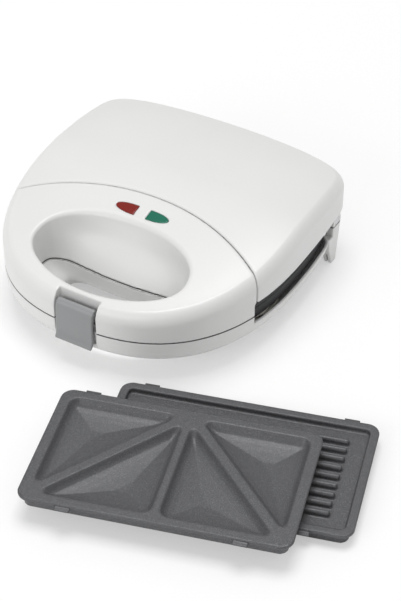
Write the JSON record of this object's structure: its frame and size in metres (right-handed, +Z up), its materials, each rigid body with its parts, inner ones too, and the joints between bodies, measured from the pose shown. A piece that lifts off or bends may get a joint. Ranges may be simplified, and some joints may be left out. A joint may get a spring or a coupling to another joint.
{
  "type": "sandwich toaster",
  "caption": "Closed sandwich toaster: domed white lid with a hand opening, grey snap latch, indicator lenses, rear hinge and removable non-stick plates, with spare plates beside it.",
  "frame": {"origin": "centre of the bottom of the whole set's bounding box, on the table top that the feet and the spare plate stand on", "axes": "+X to the right seen from the handle, +Y from the handle to the hinge, +Z up"},
  "size_m": [0.4056, 0.423, 0.0927],
  "materials": {
    "white_plastic": "satin moulded, slightly warm white",
    "grey_plastic": "satin mid grey",
    "black_plastic": "matte black heat-resistant resin",
    "nonstick": "cast, with a dark speckled non-stick coat",
    "sheet_metal": "bright pressed sheet",
    "heater_tube": "dull oxidised sheath",
    "ceramic": "off-white unglazed ceramic",
    "steel": "zinc-plated",
    "wire": "pale sleeve",
    "rubber": "matte",
    "lamp_glass": "clear glass with a warm glow",
    "red_lens": "translucent red, polished",
    "green_lens": "translucent green, polished"
  },
  "bodies": {
    "base": {"lower_housing": "white_plastic", "lower_frame": "black_plastic", "lower_plate": "nonstick", "lower_reflector": "sheet_metal", "lower_element": "heater_tube", "lower_terminals": "ceramic", "thermostat": "steel", "terminal_block": "ceramic", "mains_lead": "wire", "lower_leads": "wire", "cord_bushing": "rubber", "foot_pad_left": "rubber", "foot_pad_right": "rubber", "base_screws": "steel", "hinge_pin_left": "steel", "hinge_pin_right": "steel"},
    "lid": {"lid_cover": "white_plastic", "lid_handle": "white_plastic", "upper_frame": "black_plastic", "upper_plate": "nonstick", "upper_reflector": "sheet_metal", "upper_element": "heater_tube", "upper_terminals": "ceramic", "thermal_fuse": "ceramic", "upper_leads": "wire", "lamp_holder": "black_plastic", "power_lamp": "lamp_glass", "ready_lamp": "lamp_glass", "red_lens": "red_lens", "green_lens": "green_lens", "lid_screws": "steel", "latch_pin": "steel"},
    "latch": {"latch": "grey_plastic"},
    "lower_clip": {"lower_clip": "black_plastic"},
    "upper_clip": {"upper_clip": "black_plastic"},
    "spare_grill": {"spare_grill_plate": "nonstick"},
    "spare_sandwich": {"spare_sandwich_plate": "nonstick"}
  },
  "joints": [
    {"name": "lid_hinge", "type": "hinge", "parent": "base", "child": "lid", "pos_m": [-0.07784, 0.17851, 0.042], "axis": [-1, 0, 0], "range_deg": [0, 100]},
    {"name": "latch_pivot", "type": "hinge", "parent": "lid", "child": "latch", "pos_m": [-0.07784, -0.04109, 0.051], "axis": [-1, 0, 0], "range_deg": [0, 35]},
    {"name": "lower_clip_slide", "type": "slide", "parent": "base", "child": "lower_clip", "axis": [0, -1, 0], "range_m": [0, 0.003], "stiffness_N_per_m": 400, "springref_m": -0.002},
    {"name": "upper_clip_slide", "type": "slide", "parent": "lid", "child": "upper_clip", "axis": [0, -1, 0], "range_m": [0, 0.003], "stiffness_N_per_m": 400, "springref_m": -0.002},
    {"name": "grill_lift", "type": "slide", "parent": "base", "child": "spare_grill", "axis": [0, 0, 1], "range_m": [0, 0.1]},
    {"name": "sandwich_lift", "type": "slide", "parent": "spare_grill", "child": "spare_sandwich", "axis": [0, 0, 1], "range_m": [0, 0.1]}
  ]
}
